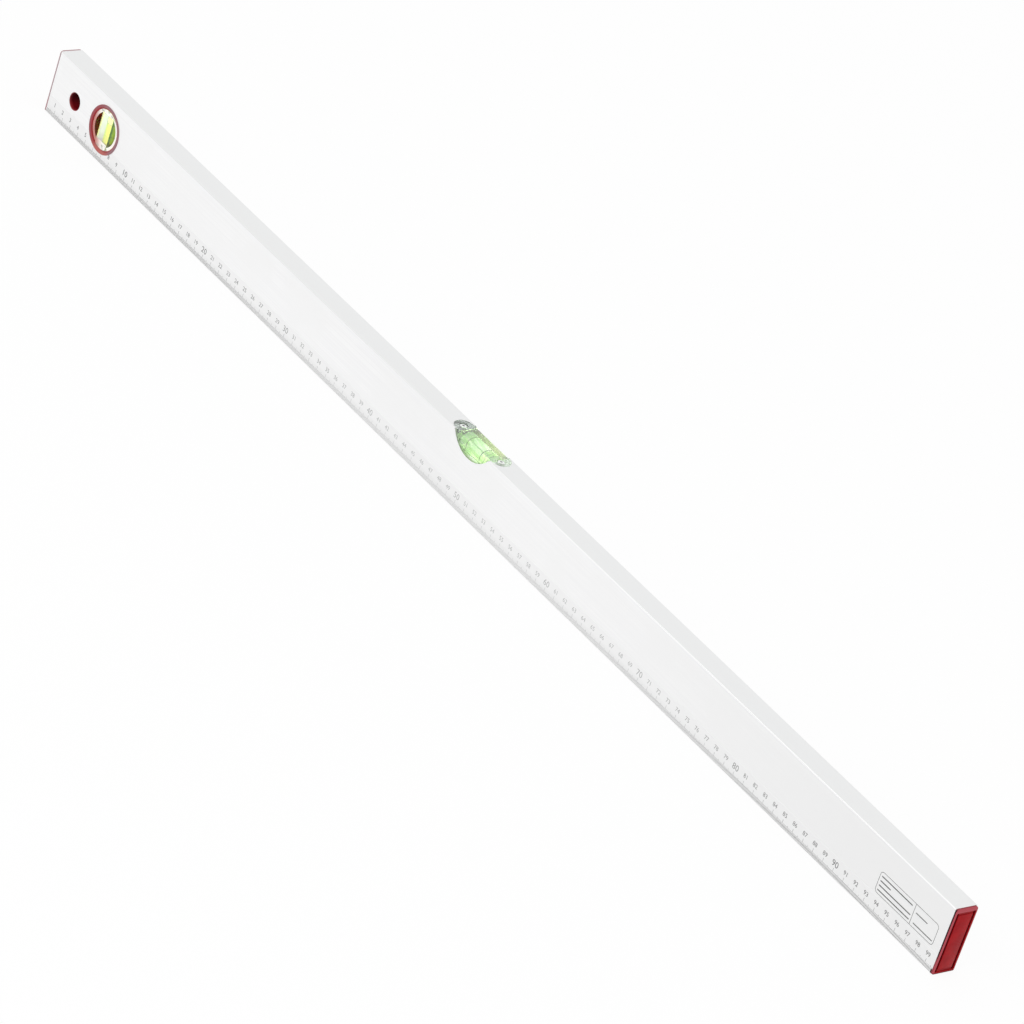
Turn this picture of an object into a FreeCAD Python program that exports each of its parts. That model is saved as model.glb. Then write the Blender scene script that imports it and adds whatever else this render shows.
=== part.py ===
import FreeCAD, Part
import os

from FreeCAD import Vector

# Aluminium box-section spirit level, one metre over its end caps.
# X runs along the level, the ruler faces -Y, the measuring edge rests at Z 0.
# The origin is under the middle of the level. All sizes are in millimetres.

# Extruded box profile
LEVEL_LENGTH = 1000.0
PROFILE_HEIGHT = 47.5
PROFILE_WIDTH = 17.5
SIDE_WALL = 1.5
TOP_WALL = 1.5
BOTTOM_WALL = 2.0
PROFILE_CORNER_RADIUS = 0.7
LEDGE_DEPTH = 1.1
LEDGE_THICKNESS = 1.2
RULER_LINE_HEIGHT = 14.0
RULER_LINE_WIDTH = 0.7
RULER_LINE_DEPTH = 0.25

# End caps, moulded plugs with a thin flange and a panel framed by a groove
CAP_FLANGE = 1.5
CAP_TOP_RADIUS = 2.2
CAP_BOTTOM_RADIUS = 1.0
CAP_EDGE = 0.35
CAP_RIM_SIDE = 1.3
CAP_RIM_TOP = 2.8
CAP_RIM_BOTTOM = 1.5
CAP_GROOVE_WIDTH = 1.7
CAP_GROOVE_DEPTH = 1.2
CAP_GROOVE_RADIUS = 0.6
CAP_PLUG_DEPTH = 18.0
CAP_PLUG_WALL = 1.5
CAP_PLUG_CLEARANCE = 0.15
CAP_PLUG_RADIUS = 0.8
CRUSH_RIB_RADIUS = 0.8
CRUSH_RIB_RELIEF = 0.02
CRUSH_RIB_SHARES = (0.2, 0.5, 0.8)

# Hanging hole and the two half bushes that snap into it
HANG_FROM_END = 29.2
HANG_HOLE_RADIUS = 6.5
BUSH_CLEARANCE = 0.05
BUSH_WALL = 1.05
BUSH_LIP = 0.15
BUSH_MOUTH_DEPTH = 1.5
BUSH_SET_BACK = 0.1
BUSH_BARB_HEIGHT = 0.25
BUSH_BARB_WIDTH = 1.2
BUSH_BARB_CLEARANCE = 0.1

# Top-reading vial: clear block with a stadium flange, let into the top wall
FLANGE_THICKNESS = 3.3
VIAL_BLOCK_CLEARANCE = 0.1
BLOCK_LENGTH = 36.0
BLOCK_FLOOR = 1.2
BLOCK_CORNER_RADIUS = 5.0
BLOCK_SLOT_CLEARANCE = 0.3
WINDOW_RADIUS = 22.4
WINDOW_DEPTH = 10.5
TOP_TUBE_RADIUS = 4.5
TOP_TUBE_COVER = 1.6
TOP_PLUG_LENGTH = 4.0
TOP_MARK_SPACING = 15.0
TOP_BUBBLE_GAP = 0.5
TOP_BUBBLE_WIDTH = 6.8
TOP_BUBBLE_FLOOR_SHARE = 0.22

# Screws of the top vial and the plates they pull against
SCREW_SINK_FROM_BODY = 0.3
SCREW_FROM_FLANGE_END = 6.15
SCREW_HEAD_RADIUS = 2.7
SCREW_HEAD_HEIGHT = 1.4
SCREW_HEAD_SUNK = 0.35
SCREW_HEAD_EDGE = 0.3
SCREW_HEAD_CLEARANCE = 0.25
SCREW_SHANK_RADIUS = 1.2
SCREW_SHANK_LENGTH = 6.0
SCREW_SHANK_CLEARANCE = 0.2
SCREW_TIP = 0.5
SCREW_CROSS_LENGTH = 2.6
SCREW_CROSS_WIDTH = 0.6
SCREW_CROSS_DEPTH = 0.8
THREAD_CLEARANCE = 0.05
PLATE_BEYOND_SCREW = 5.0
PLATE_THICKNESS = 2.0
PLATE_EDGE = 0.4

# Plumb vial: clear disc with a web, clamped between two round bezels
PLUMB_FROM_END = 67.5
PLUMB_HOLE_RADIUS = 16.5
BEZEL_RADIUS = 17.5
BEZEL_PROUD = 0.5
BEZEL_EDGE = 0.25
BEZEL_CREST_WIDTH = 0.8
BEZEL_HOLE_CLEARANCE = 0.15
BEZEL_WALL = 1.2
BEZEL_LIP = 0.55
BEZEL_LIP_SUNK = 0.3
BEZEL_LIP_THICKNESS = 0.4
SPIGOT_LENGTH = 2.0
SPIGOT_WALL = 0.5
SPIGOT_CLEARANCE = 0.05
KEY_WIDTH = 1.6
KEY_HEIGHT = 0.7
KEY_LENGTH = 5.0
DISC_CLEARANCE = 0.15
DISC_RIM = 2.8
WEB_WIDTH = 12.8
WEB_SUNK = 0.3
PLUMB_TUBE_RADIUS = 3.5
PLUMB_TUBE_LENGTH = 20.0
PLUMB_MARK_SPACING = 9.0
PLUMB_BUBBLE_LENGTH = 6.0
PLUMB_BUBBLE_ROUND_SHARE = 0.4

# Shared by both vials
LIQUID_CLEARANCE = 0.05
PLUG_CLEARANCE = 0.03
BUBBLE_CLEARANCE = 0.3
MARK_WIDTH = 0.4
MARK_THICKNESS = 0.15
MARK_CLEARANCE = 0.02

# How far cutting tools run past a face
OVERRUN = 5.0

ALONG_X = Vector(1, 0, 0)
ALONG_Y = Vector(0, 1, 0)
ALONG_Z = Vector(0, 0, 1)

HALF_LENGTH = LEVEL_LENGTH / 2
HALF_WIDTH = PROFILE_WIDTH / 2
MID_HEIGHT = PROFILE_HEIGHT / 2
PROFILE_END = HALF_LENGTH - CAP_FLANGE
INNER_HALF_WIDTH = HALF_WIDTH - SIDE_WALL
LEDGE_TOP = PROFILE_HEIGHT - FLANGE_THICKNESS
LEDGE_BOTTOM = LEDGE_TOP - LEDGE_THICKNESS
HANG_X = HANG_FROM_END - HALF_LENGTH
PLUMB_X = PLUMB_FROM_END - HALF_LENGTH
BLOCK_END = BLOCK_LENGTH / 2
BLOCK_HALF_WIDTH = INNER_HALF_WIDTH - VIAL_BLOCK_CLEARANCE
TOP_TUBE_Z = PROFILE_HEIGHT - TOP_TUBE_COVER - TOP_TUBE_RADIUS
TOP_TUBE_END = BLOCK_END - TOP_PLUG_LENGTH
TOP_BUBBLE_LENGTH = TOP_MARK_SPACING - 2 * TOP_BUBBLE_GAP
BLOCK_BOTTOM = TOP_TUBE_Z - TOP_TUBE_RADIUS - BLOCK_FLOOR
SCREW_SINK_RADIUS = SCREW_HEAD_RADIUS + SCREW_HEAD_CLEARANCE
SCREW_X = BLOCK_END + SCREW_SINK_FROM_BODY + SCREW_SINK_RADIUS
FLANGE_LENGTH = 2 * (SCREW_X + SCREW_FROM_FLANGE_END)
SCREW_HEAD_TOP = PROFILE_HEIGHT - SCREW_HEAD_SUNK
SCREW_HEAD_BOTTOM = SCREW_HEAD_TOP - SCREW_HEAD_HEIGHT
SLEEVE_OUTER = PLUMB_HOLE_RADIUS - BEZEL_HOLE_CLEARANCE
SLEEVE_INNER = SLEEVE_OUTER - BEZEL_WALL
LIP_RADIUS = SLEEVE_INNER - BEZEL_LIP
DISC_RADIUS = SLEEVE_INNER - DISC_CLEARANCE
DISC_HALF_THICKNESS = HALF_WIDTH - BEZEL_LIP_SUNK - BEZEL_LIP_THICKNESS
WEB_HALF_THICKNESS = HALF_WIDTH - WEB_SUNK
PLUMB_TUBE_TOP = MID_HEIGHT + PLUMB_TUBE_LENGTH / 2
PLUMB_TUBE_BOTTOM = MID_HEIGHT - PLUMB_TUBE_LENGTH / 2


def box(x0, x1, y0, y1, z0, z1):
    """A block between three pairs of planes."""
    return Part.makeBox(x1 - x0, y1 - y0, z1 - z0, Vector(x0, y0, z0))


def prism_x(points, x0, x1):
    """A straight-edged outline of (y, z) points, run along X."""
    wire = Part.makePolygon([Vector(x0, y, z) for y, z in points + points[:1]])
    return Part.Face(wire).extrude(Vector(x1 - x0, 0, 0))


def stadium(length, width, z0, z1):
    """An upright block with half-round ends."""
    radius = width / 2
    reach = length / 2 - radius
    solid = box(-reach, reach, -radius, radius, z0, z1)
    for x in (-reach, reach):
        solid = solid.fuse(Part.makeCylinder(radius, z1 - z0, Vector(x, 0, z0), ALONG_Z))
    return solid.removeSplitter()


def turned_about_y(points, x, z):
    """A ring turned from (radius, y) points about an axis along Y."""
    wire = Part.makePolygon([Vector(x + r, y, z) for r, y in points + points[:1]])
    return Part.Face(wire).revolve(Vector(x, 0, z), ALONG_Y, 360)


def edges_along(solid, direction, low=-PROFILE_HEIGHT, high=2 * PROFILE_HEIGHT):
    """The straight edges of a block that run one way, between two heights."""
    found = []
    for edge in solid.Edges:
        start, end = (vertex.Point for vertex in edge.Vertexes)
        parallel = (end - start).normalize().cross(direction).Length < 1e-6
        if parallel and low < edge.BoundBox.Center.z < high:
            found.append(edge)
    return found


def rounded_along(solid, direction, radius):
    return solid.makeFillet(radius, edges_along(solid, direction))


def mirrored_in_x(solid):
    return solid.mirror(Vector(0, 0, 0), ALONG_X)


def mirrored_in_y(solid):
    return solid.mirror(Vector(0, 0, 0), ALONG_Y)


def sides(name, solid, words, mirror):
    """A piece and its mirror image, each under its own name."""
    return {name + "_" + words[0]: mirror(solid), name + "_" + words[1]: solid}


def profile():
    """The extrusion, with every hole and slot that is milled into it."""
    solid = box(-PROFILE_END, PROFILE_END, -HALF_WIDTH, HALF_WIDTH, 0, PROFILE_HEIGHT)
    solid = rounded_along(solid, ALONG_X, PROFILE_CORNER_RADIUS)
    y, ledge_y = INNER_HALF_WIDTH, INNER_HALF_WIDTH - LEDGE_DEPTH
    top = PROFILE_HEIGHT - TOP_WALL
    right = [(y, BOTTOM_WALL), (y, LEDGE_BOTTOM), (ledge_y, LEDGE_BOTTOM)]
    right += [(ledge_y, LEDGE_TOP), (y, LEDGE_TOP), (y, top)]
    left = [(-a, b) for a, b in reversed(right)]
    reach = PROFILE_END + OVERRUN
    solid = solid.cut(prism_x(right + left, -reach, reach))

    line_top = RULER_LINE_HEIGHT
    line_bottom = line_top - RULER_LINE_WIDTH
    front = -HALF_WIDTH
    sunk = front + RULER_LINE_DEPTH
    groove = [(front, line_bottom), (sunk, line_top), (front, line_top)]
    solid = solid.cut(prism_x(groove, -reach, reach))

    across = PROFILE_WIDTH + 2 * OVERRUN
    for x, radius in ((HANG_X, HANG_HOLE_RADIUS), (PLUMB_X, PLUMB_HOLE_RADIUS)):
        start = Vector(x, -across / 2, MID_HEIGHT)
        solid = solid.cut(Part.makeCylinder(radius, across, start, ALONG_Y))
    window_z = PROFILE_HEIGHT - WINDOW_DEPTH + WINDOW_RADIUS
    window = Part.makeCylinder(WINDOW_RADIUS, across, Vector(0, -across / 2, window_z), ALONG_Y)
    slot_length = FLANGE_LENGTH + 2 * VIAL_BLOCK_CLEARANCE
    slot = stadium(slot_length, 2 * INNER_HALF_WIDTH, LEDGE_TOP, PROFILE_HEIGHT + OVERRUN)
    half = BLOCK_END + BLOCK_SLOT_CLEARANCE
    bottom = BLOCK_BOTTOM - BLOCK_SLOT_CLEARANCE
    y = INNER_HALF_WIDTH
    return solid.cut([window, slot, box(-half, half, -y, y, bottom, PROFILE_HEIGHT + OVERRUN)])


def cap_groove():
    """The groove round the panel of the cap's outer face."""
    start, end = HALF_LENGTH - CAP_GROOVE_DEPTH, HALF_LENGTH + OVERRUN
    y = HALF_WIDTH - CAP_RIM_SIDE
    bottom, top = CAP_RIM_BOTTOM, PROFILE_HEIGHT - CAP_RIM_TOP
    groove = rounded_along(box(start, end, -y, y, bottom, top), ALONG_X, CAP_GROOVE_RADIUS)
    width = CAP_GROOVE_WIDTH
    y = y - width
    panel = box(start - OVERRUN, end, -y, y, bottom + width, top - width)
    return groove.cut(rounded_along(panel, ALONG_X, CAP_GROOVE_RADIUS))


def end_cap():
    """The cap at the +X end: flange, grooved face, and a hollow plug with crush ribs."""
    flange = box(PROFILE_END, HALF_LENGTH, -HALF_WIDTH, HALF_WIDTH, 0, PROFILE_HEIGHT)
    top = edges_along(flange, ALONG_X, low=MID_HEIGHT)
    flange = flange.makeFillet(CAP_TOP_RADIUS, top)
    flange = flange.makeFillet(CAP_BOTTOM_RADIUS, edges_along(flange, ALONG_X, high=CAP_BOTTOM_RADIUS))
    face = [edge for edge in flange.Edges if edge.BoundBox.XMin > HALF_LENGTH - CAP_EDGE]
    flange = flange.makeFillet(CAP_EDGE, face)

    plug_start = PROFILE_END - CAP_PLUG_DEPTH
    plug_y = INNER_HALF_WIDTH - CAP_PLUG_CLEARANCE
    plug_bottom = BOTTOM_WALL + CAP_PLUG_CLEARANCE
    plug_top = LEDGE_BOTTOM - CAP_PLUG_CLEARANCE
    plug = box(plug_start, PROFILE_END, -plug_y, plug_y, plug_bottom, plug_top)
    plug = rounded_along(plug, ALONG_X, CAP_PLUG_RADIUS)
    ribs = []
    for share in CRUSH_RIB_SHARES:
        z = plug_bottom + share * (plug_top - plug_bottom)
        for side in (-1, 1):
            y = side * (INNER_HALF_WIDTH - CRUSH_RIB_RELIEF - CRUSH_RIB_RADIUS)
            start = Vector(plug_start, y, z)
            ribs.append(Part.makeCylinder(CRUSH_RIB_RADIUS, CAP_PLUG_DEPTH, start, ALONG_X))
    wall = CAP_PLUG_WALL
    y = plug_y - wall
    bottom, top = plug_bottom + wall, plug_top - wall
    hollow = box(plug_start - OVERRUN, PROFILE_END - wall, -y, y, bottom, top)
    plug = plug.fuse(ribs).cut(hollow)
    return flange.fuse(plug).cut(cap_groove()).removeSplitter()


def hang_bush():
    """The rear half bush: flared mouth, and a barb behind the profile's wall."""
    outer = HANG_HOLE_RADIUS - BUSH_CLEARANCE
    inner = outer - BUSH_WALL
    barb = HANG_HOLE_RADIUS + BUSH_BARB_HEIGHT
    end = HALF_WIDTH - BUSH_SET_BACK
    barb_end = INNER_HALF_WIDTH - BUSH_BARB_CLEARANCE
    points = [(inner, 0), (outer, 0), (outer, barb_end - BUSH_BARB_WIDTH), (barb, barb_end)]
    points += [(outer, barb_end), (outer, end), (outer - BUSH_LIP, end), (inner, end - BUSH_MOUTH_DEPTH)]
    return turned_about_y(points, HANG_X, MID_HEIGHT)


def along_tube(radius, x0, x1):
    """A cylinder on the axis of the top vial's tube."""
    return Part.makeCylinder(radius, x1 - x0, Vector(x0, 0, TOP_TUBE_Z), ALONG_X)


def upright(radius, x, z0, z1):
    """A cylinder on an upright axis in the middle plane of the level."""
    return Part.makeCylinder(radius, z1 - z0, Vector(x, 0, z0), ALONG_Z)


def top_vial_block():
    """Clear block: stadium flange on the ledges, body in the window, bored tube."""
    width = 2 * BLOCK_HALF_WIDTH
    flange = stadium(FLANGE_LENGTH, width, LEDGE_TOP, PROFILE_HEIGHT)
    body = box(-BLOCK_END, BLOCK_END, -BLOCK_HALF_WIDTH, BLOCK_HALF_WIDTH, BLOCK_BOTTOM, LEDGE_TOP)
    lower = edges_along(body, ALONG_Y, high=TOP_TUBE_Z)
    solid = flange.fuse(body.makeFillet(BLOCK_CORNER_RADIUS, lower)).removeSplitter()
    cuts = [along_tube(TOP_TUBE_RADIUS, -TOP_TUBE_END, BLOCK_END + OVERRUN)]
    groove_radius = TOP_TUBE_RADIUS + MARK_THICKNESS + MARK_CLEARANCE
    groove_width = MARK_WIDTH + 2 * MARK_CLEARANCE
    for side in (-1, 1):
        middle = side * TOP_MARK_SPACING / 2
        cuts.append(along_tube(groove_radius, middle - groove_width / 2, middle + groove_width / 2))
        hole = SCREW_SHANK_RADIUS + SCREW_SHANK_CLEARANCE
        cuts.append(upright(hole, side * SCREW_X, LEDGE_TOP - OVERRUN, PROFILE_HEIGHT))
        cuts.append(upright(SCREW_SINK_RADIUS, side * SCREW_X, SCREW_HEAD_BOTTOM, PROFILE_HEIGHT + OVERRUN))
    return solid.cut(cuts)


def top_vial_liquid():
    """The fill of the top tube, hollow where the bubble floats."""
    end = TOP_TUBE_END - LIQUID_CLEARANCE
    fill = along_tube(TOP_TUBE_RADIUS - LIQUID_CLEARANCE, -end, end)
    gap = 2 * BUBBLE_CLEARANCE
    floor = TOP_TUBE_Z + TOP_BUBBLE_FLOOR_SHARE * TOP_TUBE_RADIUS - BUBBLE_CLEARANCE
    hollow = stadium(TOP_BUBBLE_LENGTH + gap, TOP_BUBBLE_WIDTH + gap, floor, PROFILE_HEIGHT)
    return fill.cut(hollow)


def top_vial_bubble():
    """The bubble: flat underneath, round on top against the tube."""
    tube = along_tube(TOP_TUBE_RADIUS - BUBBLE_CLEARANCE, -TOP_TUBE_END, TOP_TUBE_END)
    floor = TOP_TUBE_Z + TOP_BUBBLE_FLOOR_SHARE * TOP_TUBE_RADIUS
    return tube.common(stadium(TOP_BUBBLE_LENGTH, TOP_BUBBLE_WIDTH, floor, PROFILE_HEIGHT))


def top_vial_plug():
    """The stopper that seals the bored end of the top tube."""
    return along_tube(TOP_TUBE_RADIUS - PLUG_CLEARANCE, TOP_TUBE_END, BLOCK_END)


def top_mark_ring():
    """The right-hand reading ring, let into the wall of the top tube."""
    start = TOP_MARK_SPACING / 2 - MARK_WIDTH / 2
    ring = along_tube(TOP_TUBE_RADIUS + MARK_THICKNESS, start, start + MARK_WIDTH)
    return ring.cut(along_tube(TOP_TUBE_RADIUS, start, start + MARK_WIDTH))


def vial_screw(x):
    """A small pan-head screw with a cross recess, standing at x."""
    head = upright(SCREW_HEAD_RADIUS, x, SCREW_HEAD_BOTTOM, SCREW_HEAD_TOP)
    rim = [edge for edge in head.Edges if edge.BoundBox.ZMin > SCREW_HEAD_TOP - SCREW_HEAD_EDGE]
    head = head.makeFillet(SCREW_HEAD_EDGE, rim)
    shank_bottom = SCREW_HEAD_BOTTOM - SCREW_SHANK_LENGTH
    shank = upright(SCREW_SHANK_RADIUS, x, shank_bottom, SCREW_HEAD_BOTTOM)
    tip_radius = SCREW_SHANK_RADIUS - SCREW_TIP
    tip_end = Vector(x, 0, shank_bottom - SCREW_TIP)
    tip = Part.makeCone(tip_radius, SCREW_SHANK_RADIUS, SCREW_TIP, tip_end, ALONG_Z)
    cuts = []
    arm, half = SCREW_CROSS_LENGTH / 2, SCREW_CROSS_WIDTH / 2
    bottom = SCREW_HEAD_TOP - SCREW_CROSS_DEPTH
    for reach_x, reach_y in ((arm, half), (half, arm)):
        cuts.append(box(x - reach_x, x + reach_x, -reach_y, reach_y, bottom, PROFILE_HEIGHT))
    return head.fuse([shank, tip]).cut(cuts).removeSplitter()


def vial_screws():
    return Part.makeCompound([vial_screw(side * SCREW_X) for side in (-1, 1)])


def clamp_plate():
    """The right-hand threaded plate, under the ledges below the flange's end."""
    inner, outer = BLOCK_END + BLOCK_SLOT_CLEARANCE, SCREW_X + PLATE_BEYOND_SCREW
    y = BLOCK_HALF_WIDTH
    bottom = LEDGE_BOTTOM - PLATE_THICKNESS
    plate = rounded_along(box(inner, outer, -y, y, bottom, LEDGE_BOTTOM), ALONG_Z, PLATE_EDGE)
    thread = SCREW_SHANK_RADIUS + THREAD_CLEARANCE
    return plate.cut(upright(thread, SCREW_X, bottom - OVERRUN, LEDGE_BOTTOM + OVERRUN))


def bezel_face(face, meeting):
    """Outline of a bezel half from its face at y = face to y = meeting, as (radius, y)."""
    out = -1 if face < 0 else 1
    crest = face + out * BEZEL_PROUD
    lip = face - out * BEZEL_LIP_SUNK
    seat = lip - out * BEZEL_LIP_THICKNESS
    points = [(SLEEVE_OUTER, meeting), (SLEEVE_OUTER, face), (BEZEL_RADIUS, face)]
    points += [(BEZEL_RADIUS, crest - out * BEZEL_EDGE), (BEZEL_RADIUS - BEZEL_EDGE, crest)]
    points += [(BEZEL_RADIUS - BEZEL_CREST_WIDTH, crest), (LIP_RADIUS, lip), (LIP_RADIUS, seat)]
    return points + [(SLEEVE_INNER, seat), (SLEEVE_INNER, meeting)]


def key_pair(inner, outer, width, length):
    """Two blocks, left and right of the plumb vial, from the front seat inwards."""
    half = width / 2
    seat = -DISC_HALF_THICKNESS
    key = box(inner, outer, seat, seat + length, -half, half)
    keys = [key, mirrored_in_x(key)]
    for piece in keys:
        piece.translate(Vector(PLUMB_X, 0, MID_HEIGHT))
    return keys


def plumb_bezel_front():
    """Front bezel: sloped face, sleeve, two keys for the disc, and a spigot."""
    points = bezel_face(-HALF_WIDTH, 0)
    spigot = SLEEVE_INNER + SPIGOT_WALL
    points += [(SLEEVE_INNER, SPIGOT_LENGTH), (spigot, SPIGOT_LENGTH), (spigot, 0)]
    solid = turned_about_y(points, PLUMB_X, MID_HEIGHT)
    keys = key_pair(SLEEVE_INNER - KEY_HEIGHT, SLEEVE_INNER + BEZEL_WALL / 2, KEY_WIDTH, KEY_LENGTH)
    return solid.fuse(keys).removeSplitter()


def plumb_bezel_rear():
    """Rear bezel: the same face, with a socket for the front one's spigot."""
    points = bezel_face(HALF_WIDTH, 0)
    socket_radius = SLEEVE_INNER + SPIGOT_WALL + SPIGOT_CLEARANCE
    socket_end = SPIGOT_LENGTH + SPIGOT_CLEARANCE
    points[-1:] = [(SLEEVE_INNER, socket_end), (socket_radius, socket_end), (socket_radius, 0)]
    return turned_about_y(points, PLUMB_X, MID_HEIGHT)


def disc_cylinder(radius, half_thickness):
    start = Vector(PLUMB_X, -half_thickness, MID_HEIGHT)
    return Part.makeCylinder(radius, 2 * half_thickness, start, ALONG_Y)


def plumb_vial_block():
    """Clear disc: a rim, and an upright web that holds the tube."""
    rim = disc_cylinder(DISC_RADIUS, DISC_HALF_THICKNESS)
    rim = rim.cut(disc_cylinder(DISC_RADIUS - DISC_RIM, HALF_WIDTH))
    half = WEB_WIDTH / 2
    web = box(PLUMB_X - half, PLUMB_X + half, -WEB_HALF_THICKNESS, WEB_HALF_THICKNESS, 0, PROFILE_HEIGHT)
    web_reach = LIP_RADIUS - DISC_CLEARANCE
    solid = rim.fuse(web.common(disc_cylinder(web_reach, HALF_WIDTH)))
    solid = solid.fuse(web.common(disc_cylinder(DISC_RADIUS, DISC_HALF_THICKNESS))).removeSplitter()
    gap = DISC_CLEARANCE
    notch_inner = SLEEVE_INNER - KEY_HEIGHT - gap
    cuts = key_pair(notch_inner, SLEEVE_OUTER, KEY_WIDTH + 2 * gap, KEY_LENGTH + gap)
    cuts.append(upright(PLUMB_TUBE_RADIUS, PLUMB_X, -OVERRUN, PLUMB_TUBE_TOP))
    groove_radius = PLUMB_TUBE_RADIUS + MARK_THICKNESS + MARK_CLEARANCE
    groove_width = MARK_WIDTH + 2 * MARK_CLEARANCE
    for side in (-1, 1):
        z = MID_HEIGHT + side * PLUMB_MARK_SPACING / 2 - groove_width / 2
        cuts.append(upright(groove_radius, PLUMB_X, z, z + groove_width))
    return solid.cut(cuts)


def plumb_vial_liquid():
    """The fill of the plumb tube, below its bubble."""
    surface = PLUMB_TUBE_TOP - PLUMB_BUBBLE_LENGTH - 2 * BUBBLE_CLEARANCE
    radius = PLUMB_TUBE_RADIUS - LIQUID_CLEARANCE
    return upright(radius, PLUMB_X, PLUMB_TUBE_BOTTOM + LIQUID_CLEARANCE, surface)


def plumb_vial_bubble():
    """The bubble, at the top of its tube while the level lies flat."""
    top = PLUMB_TUBE_TOP - BUBBLE_CLEARANCE
    radius = PLUMB_TUBE_RADIUS - BUBBLE_CLEARANCE
    bubble = upright(radius, PLUMB_X, top - PLUMB_BUBBLE_LENGTH, top)
    rims = [edge for edge in bubble.Edges if edge.BoundBox.ZLength < BUBBLE_CLEARANCE]
    return bubble.makeFillet(PLUMB_BUBBLE_ROUND_SHARE * radius, rims)


def plumb_vial_plug():
    """The stopper at the foot of the plumb tube, flush with the disc's rim."""
    plug = upright(PLUMB_TUBE_RADIUS - PLUG_CLEARANCE, PLUMB_X, 0, PLUMB_TUBE_BOTTOM)
    return plug.common(disc_cylinder(DISC_RADIUS, HALF_WIDTH))


def plumb_mark_ring(side):
    """A reading ring of the plumb tube, above its middle for side 1, below for -1."""
    z = MID_HEIGHT + side * PLUMB_MARK_SPACING / 2 - MARK_WIDTH / 2
    ring = upright(PLUMB_TUBE_RADIUS + MARK_THICKNESS, PLUMB_X, z, z + MARK_WIDTH)
    return ring.cut(upright(PLUMB_TUBE_RADIUS, PLUMB_X, z, z + MARK_WIDTH))


def build():
    pieces = {
        "profile": profile(),
        "top_vial_block": top_vial_block(),
        "top_vial_liquid": top_vial_liquid(),
        "top_vial_bubble": top_vial_bubble(),
        "top_vial_plug": top_vial_plug(),
        "vial_screws": vial_screws(),
        "plumb_bezel_front": plumb_bezel_front(),
        "plumb_bezel_rear": plumb_bezel_rear(),
        "plumb_vial_block": plumb_vial_block(),
        "plumb_vial_liquid": plumb_vial_liquid(),
        "plumb_vial_bubble": plumb_vial_bubble(),
        "plumb_vial_plug": plumb_vial_plug(),
        "plumb_mark_ring_lower": plumb_mark_ring(-1),
        "plumb_mark_ring_upper": plumb_mark_ring(1),
    }
    pieces.update(sides("end_cap", end_cap(), ("left", "right"), mirrored_in_x))
    pieces.update(sides("top_mark_ring", top_mark_ring(), ("left", "right"), mirrored_in_x))
    pieces.update(sides("clamp_plate", clamp_plate(), ("left", "right"), mirrored_in_x))
    pieces.update(sides("hang_bush", hang_bush(), ("front", "rear"), mirrored_in_y))
    return pieces


os.makedirs("parts", exist_ok=True)
for name, shape in build().items():
    solids = shape.Solids
    sound = shape.isValid() and all(solid.isClosed() for solid in solids)
    print(name, "solids", len(solids), "volume", round(shape.Volume, 1), "sound", sound)
    shape.exportStep("parts/" + name + ".step")
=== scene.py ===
import bmesh
import bpy
import math
from mathutils import Matrix, Vector


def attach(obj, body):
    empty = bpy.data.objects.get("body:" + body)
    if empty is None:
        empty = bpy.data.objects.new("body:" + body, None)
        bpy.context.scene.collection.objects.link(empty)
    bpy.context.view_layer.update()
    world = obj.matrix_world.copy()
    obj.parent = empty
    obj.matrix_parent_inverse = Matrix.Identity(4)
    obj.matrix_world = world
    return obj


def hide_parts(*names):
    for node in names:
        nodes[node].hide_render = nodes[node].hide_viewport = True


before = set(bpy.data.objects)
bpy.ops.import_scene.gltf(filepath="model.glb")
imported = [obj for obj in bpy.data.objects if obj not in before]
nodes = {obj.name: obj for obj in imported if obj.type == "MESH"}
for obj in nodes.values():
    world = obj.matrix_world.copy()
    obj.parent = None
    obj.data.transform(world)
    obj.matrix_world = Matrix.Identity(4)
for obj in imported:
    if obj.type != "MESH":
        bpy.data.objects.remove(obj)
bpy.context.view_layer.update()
bpy.ops.object.select_all(action="DESELECT")

# ---------------------------------------------------------------------------
# The studio: white paper under the level, an even white room, and one large
# soft lamp high in front of it. The lens is long and looks down on the level.
VIEW_FROM = Vector((2.27898, -2.28513, 1.79316))
VIEW_AT = Vector((0.04433, 0.0, 0.02412))
VIEW_TILT = math.radians(18.632)
LENS_MM, SENSOR_MM = 202.965, 36
LAMP_AT = Vector((0.3, -2.4, 2.1))
LAMP_WIDTH, LAMP_WATTS = 1.8, 20
ROOM_LIGHT = 0.85
PAPER_WIDTH, PAPER_GLOW = 14, 0.92
WHITE, BLACK = (1, 1, 1), (0, 0, 0)

camera_data = bpy.data.cameras.new("view")
camera_data.lens = LENS_MM
camera_data.sensor_width = SENSOR_MM
camera_data.clip_end = 30
camera = bpy.data.objects.new("view", camera_data)
bpy.context.scene.collection.objects.link(camera)
towards = (VIEW_AT - VIEW_FROM).to_track_quat("-Z", "Y").to_matrix()
camera.rotation_euler = (towards @ Matrix.Rotation(VIEW_TILT, 3, "Z")).to_euler()
camera.location = VIEW_FROM
bpy.context.scene.camera = camera
bpy.context.scene.view_settings.view_transform = "Standard"


def feed(node, **inputs):
    """Gives a node's inputs values, colours or other nodes' outputs. i0, i1 name an input by its place."""
    for key, value in inputs.items():
        by_place = key[0] == "i" and key[1:].isdigit()
        socket = node.inputs[int(key[1:]) if by_place else key.replace("_", " ")]
        if isinstance(value, bpy.types.NodeSocket):
            node.id_data.links.new(value, socket)
        elif socket.type == "RGBA":
            socket.default_value = (*value, 1)
        else:
            socket.default_value = value
    return node


def add(tree, kind, settings=None, **inputs):
    """Adds a shader node."""
    made = tree.nodes.new("ShaderNode" + kind)
    for key, value in (settings or {}).items():
        setattr(made, key, value)
    return feed(made, **inputs)


def math_of(tree, operation, first, second=0.0):
    return add(tree, "Math", {"operation": operation}, i0=first, i1=second).outputs[0]


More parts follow.
